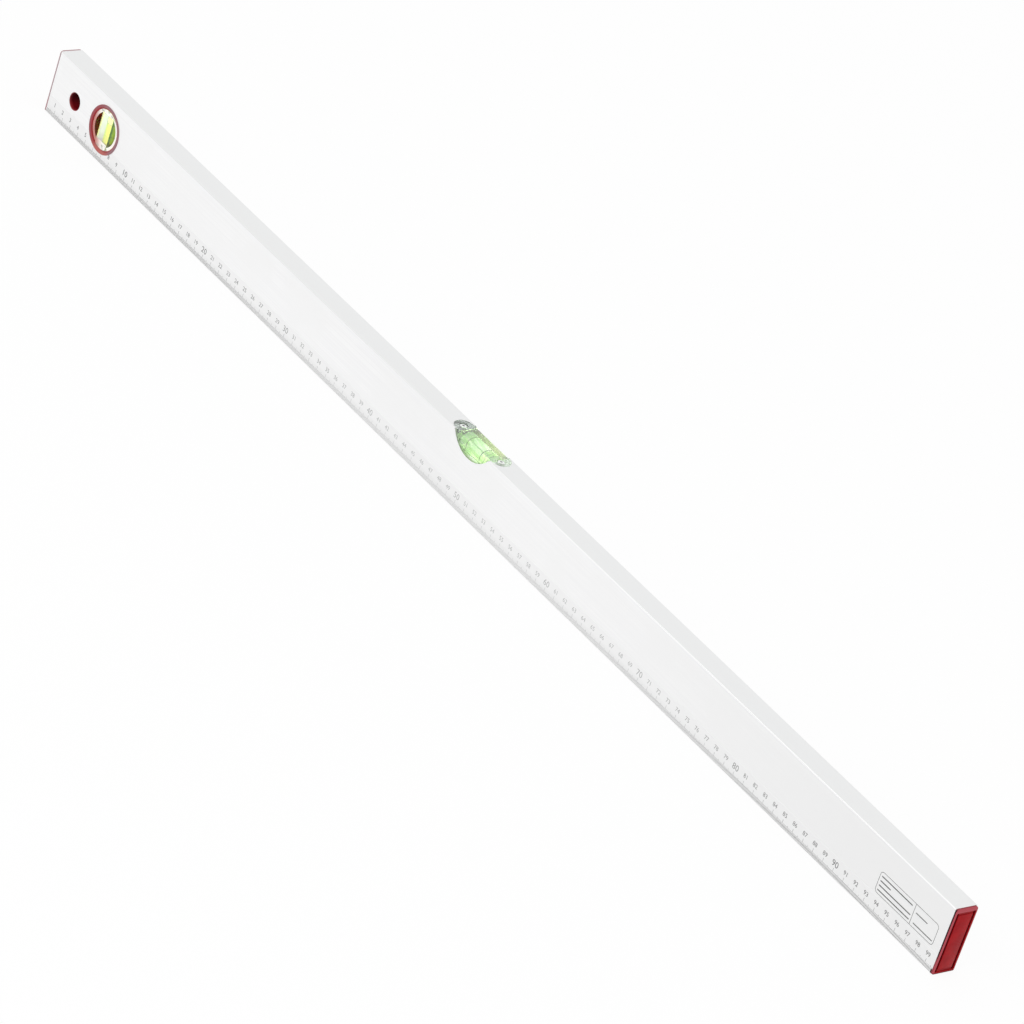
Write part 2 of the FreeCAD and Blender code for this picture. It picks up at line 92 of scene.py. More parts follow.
def either(tree, first, second):
    """The higher of two masks."""
    return math_of(tree, "MAXIMUM", first, second)


def seen_as(tree, lit, shown, end):
    """Ends a tree in what lights the level, and in what the camera, reflections and clear parts see."""
    path = add(tree, "LightPath").outputs
    seen = either(tree, path["Is Camera Ray"], path["Is Glossy Ray"])
    seen = either(tree, seen, path["Is Transmission Ray"])
    mix = add(tree, "MixShader", i0=seen, i1=lit.outputs[0], i2=shown.outputs[0])
    add(tree, end, Surface=mix.outputs[0])


room = bpy.data.worlds.new("studio")
room.use_nodes = True
bpy.context.scene.world = room
tree = room.node_tree
tree.nodes.clear()
light = add(tree, "Background", Color=WHITE, Strength=ROOM_LIGHT)
paper_white = add(tree, "Background", Color=WHITE, Strength=1.0)
seen_as(tree, light, paper_white, "OutputWorld")

bpy.ops.mesh.primitive_plane_add(size=PAPER_WIDTH, location=(0, 0, 0))
floor = bpy.context.object
floor.name = "paper_floor"
paper = bpy.data.materials.new("white_paper")
paper.use_nodes = True
tree = paper.node_tree
tree.nodes.clear()
lit = add(tree, "BsdfDiffuse", Color=(0.95, 0.95, 0.95))
glow = add(tree, "Emission", Color=WHITE, Strength=1.0)
backlit = add(tree, "MixShader", i0=PAPER_GLOW, i1=lit.outputs[0], i2=glow.outputs[0])
seen_as(tree, lit, backlit, "OutputMaterial")
floor.data.materials.append(paper)

lamp_data = bpy.data.lights.new("softbox", "AREA")
lamp_data.shape = "DISK"
lamp_data.size = LAMP_WIDTH
lamp_data.energy = LAMP_WATTS
lamp = bpy.data.objects.new("softbox", lamp_data)
bpy.context.scene.collection.objects.link(lamp)
lamp.location = LAMP_AT
lamp.rotation_euler = (-LAMP_AT).to_track_quat("-Z", "Y").to_euler()


# ---------------------------------------------------------------------------
# The profile: one aluminium extrusion with fine drawing lines, silver anodised.
# Its front top edge has a painted grey line of shade, and on its right half a
# painted white highlight, where it is also a little smoother. Its top and base,
# its front below the ruler line and all of it towards the right end are painted
# darker as shade. The window is milled after anodising, so its cut faces are
# duller.
PROFILE_END, FACE_Y, HEIGHT = 0.4985, 0.00875, 0.0475
MID_Z = HEIGHT / 2


def effect(name, inputs, outputs):
    """An empty shader node group, for an effect that several finishes share."""
    group = bpy.data.node_groups.new(name, "ShaderNodeTree")
    for label, value in inputs.items():
        kind = "NodeSocketVector" if isinstance(value, tuple) else "NodeSocketFloat"
        group.interface.new_socket(label, in_out="INPUT", socket_type=kind).default_value = value
    for label in outputs:
        group.interface.new_socket(label, in_out="OUTPUT", socket_type="NodeSocketFloat")
    return group, group.nodes.new("NodeGroupInput").outputs, group.nodes.new("NodeGroupOutput")


def place(tree, group, **inputs):
    """Puts a shared effect into a material and gives its outputs."""
    return add(tree, "Group", {"node_tree": group}, **inputs).outputs


def finish_of(name, **sockets):
    """A new material, with the plain values of its shader set on the shader itself."""
    material = bpy.data.materials.new(name)
    material.use_nodes = True
    tree = material.node_tree
    shader = feed(tree.nodes["Principled BSDF"], **sockets)
    return material, tree, shader, add(tree, "TexCoord").outputs["Object"]


def axes_of(tree, spot):
    return add(tree, "SeparateXYZ", Vector=spot).outputs


def noise_of(tree, spot, scale, detail, **more):
    return add(tree, "TexNoise", Vector=spot, Scale=scale, Detail=detail, **more).outputs["Fac"]


def stretched(tree, spot, factors):
    return add(tree, "VectorMath", {"operation": "MULTIPLY"}, i0=spot, i1=factors).outputs[0]


def distance(tree, value, middle=0.0):
    """How far a value is from a middle, to either side."""
    return math_of(tree, "ABSOLUTE", math_of(tree, "SUBTRACT", value, middle))


def rising(tree, value, low, high, ends=(0.0, 1.0)):
    """A mask that climbs from 0 to 1 while a value goes from low to high."""
    limits = {"From_Min": low, "From_Max": high, "To_Min": ends[0], "To_Max": ends[1]}
    return add(tree, "MapRange", {"interpolation_type": "SMOOTHSTEP"}, Value=value, **limits).outputs[0]


def falling(tree, value, low, high):
    """A mask that sinks from 1 to 0 while a value goes from low to high."""
    return rising(tree, value, low, high, (1.0, 0.0))


def scaled(tree, value, low, high):
    """A mask's 0 to 1 brought to a range of its own."""
    return add(tree, "MapRange", Value=value, To_Min=low, To_Max=high).outputs[0]


def both(tree, first, *others):
    """Masks multiplied: the place where all of them hold, or a share of one."""
    for other in others:
        first = math_of(tree, "MULTIPLY", first, other)
    return first


def blend_of(tree, factor, first, second):
    """A colour between two colours."""
    return add(tree, "Mix", {"data_type": "RGBA"}, i0=factor, i6=first, i7=second).outputs[2]


def layered(tree, tone, *layers):
    """A colour with others laid over it, each through its mask."""
    for mask, colour in layers:
        tone = blend_of(tree, mask, tone, colour)
    return tone


def grey(value):
    return (value, value, value)


def bumped(tree, shader, height, strength, depth):
    made = add(tree, "Bump", Strength=strength, Distance=depth, Height=height)
    feed(shader, Normal=made.outputs[0])


drawn_metal, ins, outs = effect(
    "drawn_metal", {"Vector": (0, 0, 0), "Stretch": (5, 900, 900), "Patch": 30.0}, ("Lines", "Patches")
)
drawn_out = stretched(drawn_metal, ins["Vector"], ins["Stretch"])
drawn_lines = noise_of(drawn_metal, drawn_out, 1.0, 3.0, Roughness=0.6)
feed(outs, Lines=drawn_lines, Patches=noise_of(drawn_metal, ins["Vector"], ins["Patch"], 2.0))

aluminium, tree, shader, spot = finish_of("silver_anodised_aluminium", Metallic=0.72, Specular_IOR_Level=0.4)
metal = place(tree, drawn_metal, Vector=spot)
axes = axes_of(tree, spot)
side = distance(tree, axes["Y"])
milled = both(
    tree,
    falling(tree, side, 0.00866, 0.00872),
    rising(tree, side, 0.0073, 0.0074),
    rising(tree, axes["Z"], 0.0366, 0.0369),
    falling(tree, distance(tree, axes["X"]), 0.0193, 0.0196),
)
# Painted shade: the top and the base darker than the front.
shaded_top_and_base = either(tree, rising(tree, axes["Z"], 0.0471, 0.0474), falling(tree, axes["Z"], 0.0002, 0.0005))
# The front top edge: a painted grey line of shade, and on the right half a painted white highlight, a little
# smoother there too.
top_edge = both(tree, rising(tree, side, 0.0081, 0.0086), rising(tree, axes["Z"], 0.0467, 0.0471))
rubbed_and_highlight = both(tree, top_edge, rising(tree, axes["X"], -0.2, 0.2))
# Painted shade: the front darker below the ruler line and more so near the bottom, and all of it darker towards
# the right end.
shaded_ruler_strip = falling(tree, axes["Z"], 0.0133, 0.0138)
shaded_foot = falling(tree, axes["Z"], 0.0045, 0.0075)
shaded_right_end = rising(tree, axes["X"], 0.0, 0.5)
# A dark spot on the front face at the right cap's lower corner.
dark_corner = both(tree, rising(tree, axes["X"], 0.4974, 0.4979), falling(tree, axes["Z"], 0.0028, 0.0036))
tone = layered(
    tree,
    blend_of(tree, rising(tree, metal["Lines"], 0.3, 0.7), (0.91, 0.91, 0.915), grey(0.95)),
    (rising(tree, metal["Patches"], 0.35, 0.7), grey(0.92)),
    (shaded_ruler_strip, grey(0.885)),
    (shaded_foot, grey(0.845)),
    (shaded_right_end, grey(0.85)),
    (shaded_top_and_base, (0.835, 0.84, 0.84)),
    (top_edge, grey(0.82)),
    (rubbed_and_highlight, WHITE),
    (milled, (0.42, 0.46, 0.4)),
    (dark_corner, (0.06, 0.012, 0.015)),
)
rough = math_of(tree, "SUBTRACT", scaled(tree, metal["Lines"], 0.34, 0.46), both(tree, rubbed_and_highlight, 0.12))
feed(shader, Base_Color=tone, Roughness=rough)
bumped(tree, shader, metal["Lines"], 0.25, 0.00002)
for slot in nodes["profile"].material_slots:
    slot.material = aluminium


# ---------------------------------------------------------------------------
# The ruler: grey ink printed on the lower front edge, a line for each
# millimetre, longer ones for 5 and 10, numbers for the centimetres, larger
# ones for the tens, and a framed field in darker ink near the right end.
FRONT, INK = -FACE_Y, 0.00001
RULER_ZERO = -PROFILE_END
MILLIMETRE, CENTIMETRE = 0.001, 0.01
SMALL_Z, SMALL_HEIGHT = 0.0094, 0.003
TENS_Z, TENS_HEIGHT = 0.0092, 0.0042
SINGLE_DIGIT_SHIFT = 0.0016
BEHIND_BEZEL = (6, 7)
FIELD_LEFT, FIELD_RIGHT, FIELD_LOW, FIELD_HIGH = 0.4365, 0.492, 0.0153, 0.0302
FIELD_LINE, FIELD_CORNER, DIVIDER_X = 0.0003, 0.0025, 0.47
# Left end, right end, height and half the thickness of each plain line in the field.
FIELD_ROWS = (
    (0.4383, 0.4677, 0.0272, 0.00035),
    (0.4383, 0.448, 0.0240, 0.00035),
    (0.4383, 0.4685, 0.0209, 0.00035),
    (0.4383, 0.4685, 0.0177, 0.00035),
    (0.472, 0.4828, 0.0250, 0.0003),
    (0.4725, 0.4905, 0.0180, 0.0003),
)
GRIP_X = 0.04


def pick(*pieces):
    """Selects pieces and nothing else, the first one active."""
    bpy.ops.object.select_all(action="DESELECT")
    for piece in pieces:
        piece.select_set(True)
    bpy.context.view_layer.objects.active = pieces[0]


def block(low, high):
    """A cube primitive between two corners, its place in its mesh."""
    bpy.ops.object.select_all(action="DESELECT")
    middle = [(a + b) / 2 for a, b in zip(low, high)]
    size = [b - a for a, b in zip(low, high)]
    bpy.ops.mesh.primitive_cube_add(size=1, location=middle, scale=size)
    bpy.ops.object.transform_apply(location=True, rotation=True, scale=True)
    return bpy.context.object


def joined(pieces):
    pick(*pieces)
    bpy.ops.object.join()
    return pieces[0]


def apply_modifier(piece, kind, **settings):
    pick(piece)
    modifier = piece.modifiers.new(kind.lower(), kind)
    for key, value in settings.items():
        setattr(modifier, key, value)
    bpy.ops.object.modifier_apply(modifier=modifier.name)


def settle(piece, name, body, materials, replaced=(), angle=30):
    """Names a finished piece, shades it, gives it its finish and puts it on its body."""
    pick(piece)
    bpy.ops.object.shade_smooth_by_angle(angle=math.radians(angle))
    piece.name = name
    piece.data.name = name
    piece.data.materials.clear()
    for material in materials:
        piece.data.materials.append(material)
    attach(piece, body)
    if replaced:
        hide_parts(*replaced)


def edit(piece):
    pick(piece)
    bpy.ops.object.mode_set(mode="EDIT")
    bpy.ops.mesh.select_all(action="DESELECT")


def leave(piece):
    bpy.ops.object.mode_set(mode="OBJECT")
    return piece


def choose_faces(piece, test):
    """Selects the faces whose middle and normal pass a test."""
    mesh = bmesh.from_edit_mesh(piece.data)
    bpy.context.tool_settings.mesh_select_mode = (False, False, True)
    bpy.ops.mesh.select_all(action="DESELECT")
    for face in mesh.faces:
        if test(face.calc_center_median(), face.normal):
            face.select_set(True)
    bmesh.update_edit_mesh(piece.data)


def rounded(piece, test, offset, segments):
    """Bevels the edges whose middle and direction pass a test."""
    edit(piece)
    mesh = bmesh.from_edit_mesh(piece.data)
    bpy.context.tool_settings.mesh_select_mode = (False, True, False)
    bpy.ops.mesh.select_all(action="DESELECT")
    for edge in mesh.edges:
        start, end = edge.verts[0].co, edge.verts[1].co
        if test((start + end) / 2, (end - start).normalized()):
            edge.select_set(True)
    bmesh.update_edit_mesh(piece.data)
    bpy.ops.mesh.bevel(offset=offset, segments=segments, affect="EDGES")
    return leave(piece)


def runs(axis):
    """A test for edges that run along an axis."""
    return lambda at, along: abs(getattr(along, axis)) > 0.9


def printed(left, right, low, high):
    """A printed rectangle, as thick as the ink."""
    return block((left, FRONT - INK, low), (right, FRONT, high))


def line_row(first, step, count, width, low, high):
    """A row of upright printed lines, from height low to high."""
    line = printed(first - width / 2, first + width / 2, low, high)
    apply_modifier(
        line,
        "ARRAY",
        count=count,
        use_relative_offset=False,
        use_constant_offset=True,
        constant_offset_displace=(step, 0, 0),
    )
    return line


def number(value, x, z, height):
    """A printed number, its middle at x and z."""
    bpy.ops.object.select_all(action="DESELECT")
    bpy.ops.object.text_add(rotation=(math.pi / 2, 0, 0))
    letters = bpy.context.object
    letters.data.body = str(value)
    letters.data.resolution_u = 3
    letters.data.extrude = 0.01
    bpy.ops.object.convert(target="MESH")
    letters = bpy.context.object
    bpy.ops.object.transform_apply(location=True, rotation=True, scale=True)
    low = Vector([min(v.co[a] for v in letters.data.vertices) for a in range(3)])
    high = Vector([max(v.co[a] for v in letters.data.vertices) for a in range(3)])
    size = height / (high.z - low.z)
    letters.data.transform(Matrix.Translation(-(low + high) / 2))
    letters.data.transform(Matrix.Diagonal((size, INK / (high.y - low.y), size, 1)))
    letters.data.transform(Matrix.Translation((x, FRONT - INK / 2, z)))
    return letters


lines = [
    line_row(RULER_ZERO + MILLIMETRE, MILLIMETRE, 996, 0.0003, 0.0006, 0.0037),
    line_row(RULER_ZERO + 5 * MILLIMETRE, CENTIMETRE, 100, 0.00018, 0.0035, 0.0046),
    line_row(RULER_ZERO + CENTIMETRE, CENTIMETRE, 99, 0.0002, 0.0035, 0.0061),
]
small, tens = [], []
for centimetre in range(1, 100):
    if centimetre in BEHIND_BEZEL:
        continue
    x = RULER_ZERO + CENTIMETRE * centimetre
    if centimetre % 10 == 0:
        tens.append(number(centimetre, x, TENS_Z, TENS_HEIGHT))
    else:
        shift = SINGLE_DIGIT_SHIFT if centimetre < 10 else 0
        small.append(number(centimetre, x - shift, SMALL_Z, SMALL_HEIGHT))

field = printed(FIELD_LEFT, FIELD_RIGHT, FIELD_LOW, FIELD_HIGH)
edit(rounded(field, runs("y"), FIELD_CORNER, 6))
choose_faces(field, lambda at, normal: abs(normal.y) > 0.9)
bpy.ops.mesh.inset(thickness=FIELD_LINE, use_even_offset=True)
bpy.ops.mesh.delete(type="ONLY_FACE")
bpy.context.tool_settings.mesh_select_mode = (False, True, False)
bpy.ops.mesh.select_all(action="DESELECT")
for edge in bmesh.from_edit_mesh(field.data).edges:
    edge.select_set(edge.is_boundary)
bmesh.update_edit_mesh(field.data)
bpy.ops.mesh.bridge_edge_loops()
bpy.ops.mesh.select_all(action="SELECT")
bpy.ops.mesh.normals_make_consistent(inside=False)
leave(field)
divider_ends = DIVIDER_X - FIELD_LINE / 2, DIVIDER_X + FIELD_LINE / 2
rows = [printed(*divider_ends, FIELD_LOW + FIELD_LINE, FIELD_HIGH - FIELD_LINE)]
rows += [printed(left, right, z - half, z + half) for left, right, z, half in FIELD_ROWS]
field = joined([field] + rows)


def ink(name, light, dark):
    """Printing ink, a little uneven where the pad lifted, and worn faint where the level is held."""
    material, tree, shader, spot = finish_of(name, Roughness=0.55, Specular_IOR_Level=0.3)
    speckle = rising(tree, noise_of(tree, spot, 1400.0, 2.0), 0.35, 0.7)
    held = falling(tree, distance(tree, axes_of(tree, spot)["X"], GRIP_X), 0.1, 0.42)
    feed(shader, Base_Color=layered(tree, grey(dark), (speckle, grey(light)), (held, grey(0.48))))
    return material


grey_ink = ink("grey_printing_ink", 0.16, 0.07)
settle(joined(lines), "ruler_lines", "level", [grey_ink])
settle(joined(small), "ruler_numbers", "level", [grey_ink])
settle(joined(tens), "ruler_tens", "level", [grey_ink])
settle(field, "ruler_field", "level", [ink("black_printing_ink", 0.06, 0.02)])


# ---------------------------------------------------------------------------
# The end caps: red mouldings with a thin flange as large as the profile, a
# raised panel framed by a groove, and a hollow plug whose six ribs grip
# inside. The groove and the flange's side along the joint are painted dark as
# shade on the right cap and pale as dust on the left, and the rim round the
# panel is painted pale as a highlight.
CAP_END = 0.5
# Half the width, the lower and the upper end of the panel and of the groove round it.
PANEL, GROOVE = (0.00575, 0.0032, 0.043), (0.00745, 0.0015, 0.0447)
SIDE_GROOVE_DEPTH, OTHER_GROOVE_DEPTH = 0.0012, 0.0004
PLUG_END, PLUG_Y, PLUG_LOW, PLUG_HIGH, PLUG_WALL = 0.4805, 0.0071, 0.00215, 0.04285, 0.0015
RIB_RADIUS, RIB_Y = 0.0008, 0.00643
SAME_PLACE = 0.000002


def cut(piece, tool, how="DIFFERENCE"):
    """Joins a tool to a piece, or cuts it away, and removes the tool."""
    apply_modifier(piece, "BOOLEAN", object=tool, operation=how, solver="MANIFOLD")
    bpy.data.objects.remove(tool)
    return piece


def welded(piece):
    """Merges vertices that lie in one place."""
    edit(piece)
    bpy.ops.mesh.select_all(action="SELECT")
    bpy.ops.mesh.remove_doubles(threshold=SAME_PLACE)
    return leave(piece)


def cleaned(piece):
    """Merges the doubles and takes out the slivers that cuts and bevels leave."""
    edit(welded(piece))
    bpy.ops.mesh.select_all(action="SELECT")
    bpy.ops.mesh.dissolve_degenerate(threshold=SAME_PLACE / 2)
    bpy.ops.mesh.delete_loose()
    return leave(piece)


def rod(radius, start, end, sides):
    """A cylinder primitive between two points, its place in its mesh."""
    start, end = Vector(start), Vector(end)
    bpy.ops.object.select_all(action="DESELECT")
    turn = (end - start).to_track_quat("Z", "Y").to_euler()
    bpy.ops.mesh.primitive_cylinder_add(
        vertices=sides, radius=radius, depth=(end - start).length, location=(start + end) / 2, rotation=turn
    )
    bpy.ops.object.transform_apply(location=True, rotation=True, scale=True)
    return bpy.context.object


def on_outline(at, half, low, high):
    """Tells whether a point lies on a rectangle's outline in the cap's face."""
    close = 0.00002
    return abs(abs(at.y) - half) < close or abs(at.z - low) < close or abs(at.z - high) < close


def groove_brink(at, along):
    """The edges of the groove in the outer face, with its rounded corners."""
    half, low, high = GROOVE
    in_face = abs(along.x) < 0.1 and at.x > CAP_END - 0.00001
    near = abs(at.y) < half + 0.00001 and low - 0.00001 < at.z < high + 0.00001
    return in_face and near and (on_outline(at, *PANEL) or on_outline(at, *GROOVE) or abs(at.y) > 0.0068)


def cap_flange():
    """The flange, as large as the profile. The groove round its panel is deep at the sides only."""
    flange = block((PROFILE_END, -FACE_Y, 0), (CAP_END, FACE_Y, HEIGHT))
    rounded(flange, lambda at, along: abs(along.x) > 0.9 and at.z > 0.02, 0.0022, 8)
    rounded(flange, lambda at, along: abs(along.x) > 0.9 and at.z < 0.001, 0.001, 5)
    rounded(flange, lambda at, along: at.x > CAP_END - 0.00001, 0.00035, 4)
    panel_y, panel_low, panel_high = PANEL
    groove_y, groove_low, groove_high = GROOVE
    grooves = ((SIDE_GROOVE_DEPTH, -0.001, 0.05), (OTHER_GROOVE_DEPTH, panel_low, panel_high))
    for depth, low, high in grooves:
        groove = block((CAP_END - depth, -groove_y, groove_low), (CAP_END + 0.002, groove_y, groove_high))
        rounded(groove, runs("x"), 0.0006, 4)
        cut(groove, block((PROFILE_END - 0.0005, -panel_y, low), (CAP_END + 0.003, panel_y, high)))
        cut(flange, groove)
    return rounded(flange, groove_brink, 0.00018, 3)


def cap_plug():
    """The hollow plug with three crush ribs on each side. All of them start a little way into the flange."""
    plug = block((PLUG_END, -PLUG_Y, PLUG_LOW), (PROFILE_END + 0.00015, PLUG_Y, PLUG_HIGH))
    rounded(plug, runs("x"), 0.0008, 4)
    for share in (0.2, 0.5, 0.8):
        z = PLUG_LOW + share * (PLUG_HIGH - PLUG_LOW)
        for side in (-RIB_Y, RIB_Y):
            rib = rod(RIB_RADIUS, (PLUG_END, side, z), (PROFILE_END + 0.0001, side, z), 24)
            rounded(rib, lambda at, along: abs(along.x) < 0.1 and at.x < PLUG_END + 0.0005, 0.0004, 3)
            cut(plug, rib, "UNION")
    inner_y, inner_low, inner_high = PLUG_Y - PLUG_WALL, PLUG_LOW + PLUG_WALL, PLUG_HIGH - PLUG_WALL
    hollow = block((PLUG_END - 0.01, -inner_y, inner_low), (PROFILE_END - PLUG_WALL, inner_y, inner_high))
    return cut(plug, hollow)


moulded_skin, ins, outs = effect(
    "moulded_skin", {"Vector": (0, 0, 0), "Grain": 4000.0, "Cloud": 120.0}, ("Grain", "Cloud")
)
grain = noise_of(moulded_skin, ins["Vector"], ins["Grain"], 2.0)
feed(outs, Grain=grain, Cloud=noise_of(moulded_skin, ins["Vector"], ins["Cloud"], 3.0))


def red_plastic(name, worn_and_highlight, dust_and_shade, dust_and_shade_colour=(0.1, 0.004, 0.008), rubbed_and_highlight=(0.42, 0.15, 0.165)):
    """Red moulded plastic, with a pale layer for wear and painted highlights and a layer for dust and painted
    shade, each through a mask made from the position's axes; the pale colour may be made from them too.
    """
    material, tree, shader, spot = finish_of(name, Specular_IOR_Level=0.09)
    skin = place(tree, moulded_skin, Vector=spot)
    axes = axes_of(tree, spot)
    fresh = blend_of(tree, rising(tree, skin["Cloud"], 0.3, 0.7), (0.32, 0.004, 0.008), (0.39, 0.007, 0.011))
    pale = rubbed_and_highlight(tree, axes) if callable(rubbed_and_highlight) else rubbed_and_highlight
    tone = layered(tree, fresh, (worn_and_highlight(tree, axes), pale), (dust_and_shade(tree, axes), dust_and_shade_colour))
    feed(shader, Base_Color=tone, Roughness=scaled(tree, skin["Cloud"], 0.3, 0.42))
    bumped(tree, shader, skin["Grain"], 0.15, 0.00002)
    return material


def cap_worn(tree, axes):
    """The rim round the panel, painted pale above and in front as a highlight."""
    front = falling(tree, axes["Y"], -0.0076, -0.0073)
    top = rising(tree, axes["Z"], 0.0446, 0.0449)
    return both(tree, either(tree, front, top), 0.75)


def cap_dirty(tree, axes):
    """Painted shade below the outer face, pale as dust on the left cap: half in the groove, most on the
    flange's side above the lower corner, some along the bottom edge.
    """
    sunk = falling(tree, distance(tree, axes["X"]), 0.4993, 0.4998)
    side = rising(tree, distance(tree, axes["Y"]), 0.0078, 0.0084)
    side = both(tree, side, rising(tree, axes["Z"], 0.008, 0.014))
    shaded_foot = falling(tree, axes["Z"], 0.0004, 0.0013)
    return either(tree, both(tree, sunk, scaled(tree, side, 0.45, 1.0)), both(tree, shaded_foot, 0.6))


# The right cap's painted shade is near black; on the left cap the same places are dusty.
cap_red = red_plastic("red_cap_plastic", cap_worn, cap_dirty, (0.03, 0.004, 0.006), (0.5, 0.1, 0.125))
dusty_red = red_plastic("dusty_cap_plastic", cap_worn, cap_dirty, (0.42, 0.33, 0.345), (0.42, 0.22, 0.24))
right_cap = cleaned(cut(cap_flange(), cap_plug(), "UNION"))
left_cap = right_cap.copy()
left_cap.data = right_cap.data.copy()
bpy.context.scene.collection.objects.link(left_cap)
left_cap.data.transform(Matrix.Diagonal((-1, 1, 1, 1)))
edit(left_cap)
bpy.ops.mesh.select_all(action="SELECT")
bpy.ops.mesh.flip_normals()
leave(left_cap)
settle(right_cap, "cap_right", "level", [cap_red], ["end_cap_right"])
settle(left_cap, "cap_left", "level", [dusty_red], ["end_cap_left"])


# ---------------------------------------------------------------------------
# The hanging hole's lining: two red half bushes pushed in from both faces,
# flared at the mouth, each held by a barb behind the wall.
BUSH_X = -0.4708
# Radius and distance from the middle, in millimetres.
BUSH_SECTION = (
    (5.4, 0), (6.45, 0), (6.45, 5.95), (6.75, 7.15), (6.45, 7.15), (6.45, 8.65), (6.3, 8.65), (5.4, 7.15)
)


def outline(points_mm, round_off, radius):
    """A chain of edges drawn point by point in the XY plane, with some corners rounded."""
    points = [Vector((across / 1000, up / 1000, 0)) for across, up in points_mm]
    bpy.ops.object.select_all(action="DESELECT")
    bpy.ops.mesh.primitive_plane_add(size=0.001, location=(0, 0, 0))
    drawn = bpy.context.object
    bpy.ops.object.mode_set(mode="EDIT")
    bpy.context.tool_settings.mesh_select_mode = (True, False, False)
    bpy.ops.mesh.select_all(action="SELECT")
    bpy.ops.mesh.merge(type="CENTER")
    bpy.ops.transform.translate(value=points[0])
    for start, end in zip(points, points[1:]):
        bpy.ops.mesh.extrude_region_move(TRANSFORM_OT_translate={"value": end - start})
    bpy.ops.mesh.select_all(action="SELECT")
    bpy.ops.mesh.remove_doubles(threshold=SAME_PLACE / 2)
    bpy.ops.mesh.select_all(action="DESELECT")
    for vertex in bmesh.from_edit_mesh(drawn.data).verts:
        if any((vertex.co - points[index]).length < SAME_PLACE for index in round_off):
            vertex.select_set(True)
    bmesh.update_edit_mesh(drawn.data)
    bpy.ops.mesh.bevel(offset=radius, segments=4, affect="VERTICES")
    return leave(drawn)


def spun(chain, steps):
    """Spins a chain of edges round the Y axis into a closed shell, its faces outwards."""
    edit(chain)
    bpy.ops.mesh.select_all(action="SELECT")
    bpy.ops.mesh.spin(steps=steps, angle=2 * math.pi, center=(0, 0, 0), axis=(0, 1, 0))
    bpy.ops.mesh.select_all(action="SELECT")
    bpy.ops.mesh.remove_doubles(threshold=SAME_PLACE)
    bpy.ops.mesh.normals_make_consistent(inside=False)
    if bmesh.from_edit_mesh(chain.data).calc_volume(signed=True) < 0:
        bpy.ops.mesh.flip_normals()
    return leave(chain)


def turned(section_mm, x, round_off, radius, steps=128):
    """A ring with a closed section of (radius, y) points, about a cross axis at half height."""
    ring = spun(outline(section_mm + section_mm[:1], round_off, radius), steps)
    ring.data.transform(Matrix.Translation((x, 0, MID_Z)))
    return ring


def bush_worn(tree, axes):
    """The flared mouth, painted paler as lit."""
    return both(tree, rising(tree, distance(tree, axes["Y"]), 0.0076, 0.0086), 0.5)


def bush_dirty(tree, axes):
    """The lining, painted dark as shade, most in its upper part."""
    lining = falling(tree, distance(tree, axes["Y"]), 0.0078, 0.0088)
    return both(tree, lining, scaled(tree, rising(tree, axes["Z"], 0.018, 0.025), 0.6, 1.0))


bush_red = red_plastic("red_bush_plastic", bush_worn, bush_dirty, (0.07, 0.004, 0.008))
for side, name in ((-1, "front"), (1, "rear")):
    bush = turned([(r, side * y) for r, y in BUSH_SECTION], BUSH_X, (5, 6, 7), 0.00012)
    settle(bush, "bush_" + name, "level", [bush_red], ["hang_bush_" + name])


# ---------------------------------------------------------------------------
# The level vial: a clear acrylic moulding with a stadium-shaped flange, let
# into the top wall and polished flush. Its bore is filled with yellow-green
# liquid, has two black reading rings and is closed by a clear stopper.
VIAL_Z, VIAL_BORE, VIAL_END = 0.0414, 0.0045, 0.018
FLANGE_X, FLANGE_Y, FLANGE_LOW = 0.0274, 0.00715, 0.0442
BODY_Y, BODY_LOW, BODY_TOP = 0.00714, 0.0357, 0.046
CHAMBER_X, RING_X, SCREW_X = 0.014, 0.0075, 0.02125
SHANK_HOLE, HEAD_SINK, HEAD_SEAT = 0.0014, 0.00295, 0.04575
BUBBLE_X, BUBBLE_Y, BUBBLE_LOW, BUBBLE_TOP_RADIUS = 0.007, 0.0034, 0.04239, 0.0042
ACRYLIC_IOR, AIR_IOR = 1.49, 1.3
RING_DEPTH, RING_HALF, PLAY = 0.00015, 0.0002, 0.00002

clear_flow, ins, outs = effect(
    "clear_flow", {"Vector": (0, 0, 0), "Scale": 260.0, "Clearest": 0.01, "Cloudiest": 0.04}, ("Swirl", "Haze")
)
swirl = noise_of(clear_flow, ins["Vector"], ins["Scale"], 1.0, Distortion=1.5)
feed(outs, Swirl=swirl, Haze=scaled(clear_flow, swirl, ins["Clearest"], ins["Cloudiest"]))


def clear_finish(name, tint, **sockets):
    """A clear moulding with faint flow lines. The tint is its colour."""
    material, tree, shader, spot = finish_of(name, **sockets)
    flow = place(tree, clear_flow, Vector=spot)
    pale = tuple(1 - 0.85 * (1 - share) for share in tint)
    feed(shader, Base_Color=blend_of(tree, flow["Swirl"], tint, pale), Roughness=flow["Haze"])
    bumped(tree, shader, flow["Swirl"], 0.02, 0.00002)
    return material


acrylic = clear_finish("clear_acrylic", (0.92, 0.99, 0.93), Transmission_Weight=0.8, IOR=ACRYLIC_IOR)
glowing_acrylic, tree, shader, spot = finish_of(
    "acrylic_with_painted_glow", Transmission_Weight=0.8, IOR=ACRYLIC_IOR, Emission_Strength=0.3
)
flow = place(tree, clear_flow, Vector=spot)
axes = axes_of(tree, spot)
middle = falling(tree, distance(tree, axes["X"]), 0.013, 0.0185)
# Painted glow: the moulding sends out light of its own at its rear edge and right end, standing in for the
# dye's light carried along it.
rear_edge = both(tree, middle, rising(tree, axes["Y"], 0.001, 0.003), rising(tree, axes["X"], -0.03, 0.015))
right_end = rising(tree, axes["X"], 0.017, 0.021)
lit = layered(tree, BLACK, (rear_edge, (0.42, 0.42, 0.17)), (right_end, (0.26, 0.3, 0.22)))
